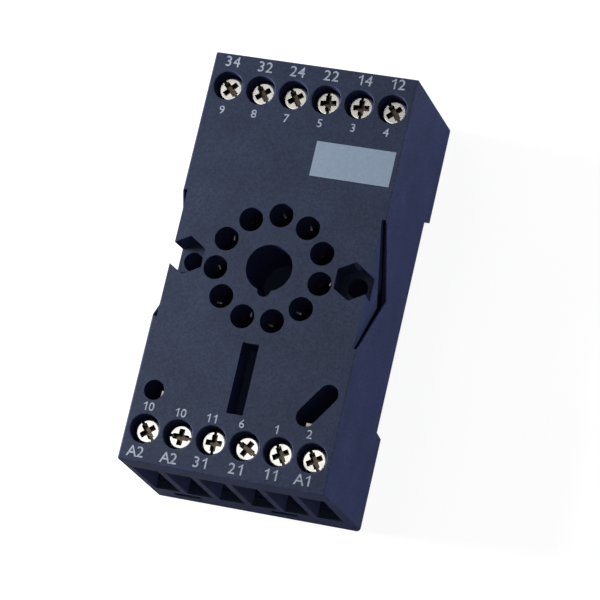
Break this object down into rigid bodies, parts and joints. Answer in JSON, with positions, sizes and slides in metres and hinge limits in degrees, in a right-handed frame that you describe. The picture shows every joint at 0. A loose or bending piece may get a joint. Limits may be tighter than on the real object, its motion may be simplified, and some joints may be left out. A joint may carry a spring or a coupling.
{
  "type": "relay socket",
  "caption": "Plug-in relay socket with a keyed centre hole in a ring of pin contacts, screw terminals at both ends, and a sprung latch for a 35 mm rail.",
  "frame": {"origin": "centre of the pin circle, in the plane of the back of the two end blocks", "axes": "+Z out of the front face, +Y along the length towards the end away from the key, +X across, to the right when the front is seen with +Y up"},
  "size_m": [0.038, 0.0754, 0.0266],
  "materials": {
    "housing_plastic": "fine matte, glass-filled",
    "base_plastic": "matte",
    "latch_plastic": "satin",
    "screw_steel": "bright zinc plated",
    "clamp_steel": "zinc plated, stamped",
    "spring_steel": "drawn wire",
    "strip_brass": "stamped, semi-bright",
    "contact_metal": "tin plated"
  },
  "bodies": {
    "socket": {"housing": "housing_plastic", "base_plate": "base_plastic", "contact_strip_1": "strip_brass", "contact_strip_2": "strip_brass", "contact_strip_3": "strip_brass", "contact_strip_4": "strip_brass", "contact_strip_5": "strip_brass", "contact_strip_6": "strip_brass", "contact_strip_7": "strip_brass", "contact_strip_8": "strip_brass", "contact_strip_9": "strip_brass", "contact_strip_10": "strip_brass", "contact_strip_11": "strip_brass", "pin_contact_1": "contact_metal", "pin_contact_2": "contact_metal", "pin_contact_3": "contact_metal", "pin_contact_4": "contact_metal", "pin_contact_5": "contact_metal", "pin_contact_6": "contact_metal", "pin_contact_7": "contact_metal", "pin_contact_8": "contact_metal", "pin_contact_9": "contact_metal", "pin_contact_10": "contact_metal", "pin_contact_11": "contact_metal", "latch_spring": "spring_steel"},
    "latch": {"rail_latch": "latch_plastic"},
    "clamp_top_1": {"clamp_plate_top_1": "clamp_steel"},
    "screw_top_1": {"terminal_screw_top_1": "screw_steel"},
    "clamp_top_2": {"clamp_plate_top_2": "clamp_steel"},
    "screw_top_2": {"terminal_screw_top_2": "screw_steel"},
    "clamp_top_3": {"clamp_plate_top_3": "clamp_steel"},
    "screw_top_3": {"terminal_screw_top_3": "screw_steel"},
    "clamp_top_4": {"clamp_plate_top_4": "clamp_steel"},
    "screw_top_4": {"terminal_screw_top_4": "screw_steel"},
    "clamp_top_5": {"clamp_plate_top_5": "clamp_steel"},
    "screw_top_5": {"terminal_screw_top_5": "screw_steel"},
    "clamp_top_6": {"clamp_plate_top_6": "clamp_steel"},
    "screw_top_6": {"terminal_screw_top_6": "screw_steel"},
    "clamp_low_1": {"clamp_plate_low_1": "clamp_steel"},
    "screw_low_1": {"terminal_screw_low_1": "screw_steel"},
    "clamp_low_2": {"clamp_plate_low_2": "clamp_steel"},
    "screw_low_2": {"terminal_screw_low_2": "screw_steel"},
    "clamp_low_3": {"clamp_plate_low_3": "clamp_steel"},
    "screw_low_3": {"terminal_screw_low_3": "screw_steel"},
    "clamp_low_4": {"clamp_plate_low_4": "clamp_steel"},
    "screw_low_4": {"terminal_screw_low_4": "screw_steel"},
    "clamp_low_5": {"clamp_plate_low_5": "clamp_steel"},
    "screw_low_5": {"terminal_screw_low_5": "screw_steel"},
    "clamp_low_6": {"clamp_plate_low_6": "clamp_steel"},
    "screw_low_6": {"terminal_screw_low_6": "screw_steel"}
  },
  "joints": [
    {"name": "latch_slide", "type": "slide", "parent": "socket", "child": "latch", "axis": [0, -1, 0], "range_m": [0, 0.0025], "stiffness_N_per_m": 3900, "springref_m": -0.0005, "deforming": ["latch_spring"]},
    {"name": "clamp_top_1_slide", "type": "slide", "parent": "socket", "child": "clamp_top_1", "axis": [0, 0, -1], "range_m": [0, 0.0024]},
    {"name": "screw_top_1_turn", "type": "hinge", "parent": "clamp_top_1", "child": "screw_top_1", "pos_m": [-0.015, 0.0313, 0.0246], "axis": [0, 0, -1], "range_deg": [0, 1728.5]},
    {"name": "clamp_top_2_slide", "type": "slide", "parent": "socket", "child": "clamp_top_2", "axis": [0, 0, -1], "range_m": [0, 0.0024]},
    {"name": "screw_top_2_turn", "type": "hinge", "parent": "clamp_top_2", "child": "screw_top_2", "pos_m": [-0.009, 0.0313, 0.0246], "axis": [0, 0, -1], "range_deg": [0, 1728.5]},
    {"name": "clamp_top_3_slide", "type": "slide", "parent": "socket", "child": "clamp_top_3", "axis": [0, 0, -1], "range_m": [0, 0.0024]},
    {"name": "screw_top_3_turn", "type": "hinge", "parent": "clamp_top_3", "child": "screw_top_3", "pos_m": [-0.003, 0.0313, 0.0246], "axis": [0, 0, -1], "range_deg": [0, 1728.5]},
    {"name": "clamp_top_4_slide", "type": "slide", "parent": "socket", "child": "clamp_top_4", "axis": [0, 0, -1], "range_m": [0, 0.0024]},
    {"name": "screw_top_4_turn", "type": "hinge", "parent": "clamp_top_4", "child": "screw_top_4", "pos_m": [0.003, 0.0313, 0.0246], "axis": [0, 0, -1], "range_deg": [0, 1728.5]},
    {"name": "clamp_top_5_slide", "type": "slide", "parent": "socket", "child": "clamp_top_5", "axis": [0, 0, -1], "range_m": [0, 0.0024]},
    {"name": "screw_top_5_turn", "type": "hinge", "parent": "clamp_top_5", "child": "screw_top_5", "pos_m": [0.009, 0.0313, 0.0246], "axis": [0, 0, -1], "range_deg": [0, 1728.5]},
    {"name": "clamp_top_6_slide", "type": "slide", "parent": "socket", "child": "clamp_top_6", "axis": [0, 0, -1], "range_m": [0, 0.0024]},
    {"name": "screw_top_6_turn", "type": "hinge", "parent": "clamp_top_6", "child": "screw_top_6", "pos_m": [0.015, 0.0313, 0.0246], "axis": [0, 0, -1], "range_deg": [0, 1728.5]},
    {"name": "clamp_low_1_slide", "type": "slide", "parent": "socket", "child": "clamp_low_1", "axis": [0, 0, -1], "range_m": [0, 0.0024]},
    {"name": "screw_low_1_turn", "type": "hinge", "parent": "clamp_low_1", "child": "screw_low_1", "pos_m": [-0.015, -0.0313, 0.0246], "axis": [0, 0, -1], "range_deg": [0, 1728.5]},
    {"name": "clamp_low_2_slide", "type": "slide", "parent": "socket", "child": "clamp_low_2", "axis": [0, 0, -1], "range_m": [0, 0.0024]},
    {"name": "screw_low_2_turn", "type": "hinge", "parent": "clamp_low_2", "child": "screw_low_2", "pos_m": [-0.009, -0.0313, 0.0246], "axis": [0, 0, -1], "range_deg": [0, 1728.5]},
    {"name": "clamp_low_3_slide", "type": "slide", "parent": "socket", "child": "clamp_low_3", "axis": [0, 0, -1], "range_m": [0, 0.0024]},
    {"name": "screw_low_3_turn", "type": "hinge", "parent": "clamp_low_3", "child": "screw_low_3", "pos_m": [-0.003, -0.0313, 0.0246], "axis": [0, 0, -1], "range_deg": [0, 1728.5]},
    {"name": "clamp_low_4_slide", "type": "slide", "parent": "socket", "child": "clamp_low_4", "axis": [0, 0, -1], "range_m": [0, 0.0024]},
    {"name": "screw_low_4_turn", "type": "hinge", "parent": "clamp_low_4", "child": "screw_low_4", "pos_m": [0.003, -0.0313, 0.0246], "axis": [0, 0, -1], "range_deg": [0, 1728.5]},
    {"name": "clamp_low_5_slide", "type": "slide", "parent": "socket", "child": "clamp_low_5", "axis": [0, 0, -1], "range_m": [0, 0.0024]},
    {"name": "screw_low_5_turn", "type": "hinge", "parent": "clamp_low_5", "child": "screw_low_5", "pos_m": [0.009, -0.0313, 0.0246], "axis": [0, 0, -1], "range_deg": [0, 1728.5]},
    {"name": "clamp_low_6_slide", "type": "slide", "parent": "socket", "child": "clamp_low_6", "axis": [0, 0, -1], "range_m": [0, 0.0024]},
    {"name": "screw_low_6_turn", "type": "hinge", "parent": "clamp_low_6", "child": "screw_low_6", "pos_m": [0.015, -0.0313, 0.0246], "axis": [0, 0, -1], "range_deg": [0, 1728.5]}
  ],
  "couplings": [
    {"joint": "screw_top_1_turn", "follows": "clamp_top_1_slide", "rad_per_m": 12566},
    {"joint": "screw_top_2_turn", "follows": "clamp_top_2_slide", "rad_per_m": 12566},
    {"joint": "screw_top_3_turn", "follows": "clamp_top_3_slide", "rad_per_m": 12566},
    {"joint": "screw_top_4_turn", "follows": "clamp_top_4_slide", "rad_per_m": 12566},
    {"joint": "screw_top_5_turn", "follows": "clamp_top_5_slide", "rad_per_m": 12566},
    {"joint": "screw_top_6_turn", "follows": "clamp_top_6_slide", "rad_per_m": 12566},
    {"joint": "screw_low_1_turn", "follows": "clamp_low_1_slide", "rad_per_m": 12566},
    {"joint": "screw_low_2_turn", "follows": "clamp_low_2_slide", "rad_per_m": 12566},
    {"joint": "screw_low_3_turn", "follows": "clamp_low_3_slide", "rad_per_m": 12566},
    {"joint": "screw_low_4_turn", "follows": "clamp_low_4_slide", "rad_per_m": 12566},
    {"joint": "screw_low_5_turn", "follows": "clamp_low_5_slide", "rad_per_m": 12566},
    {"joint": "screw_low_6_turn", "follows": "clamp_low_6_slide", "rad_per_m": 12566}
  ]
}
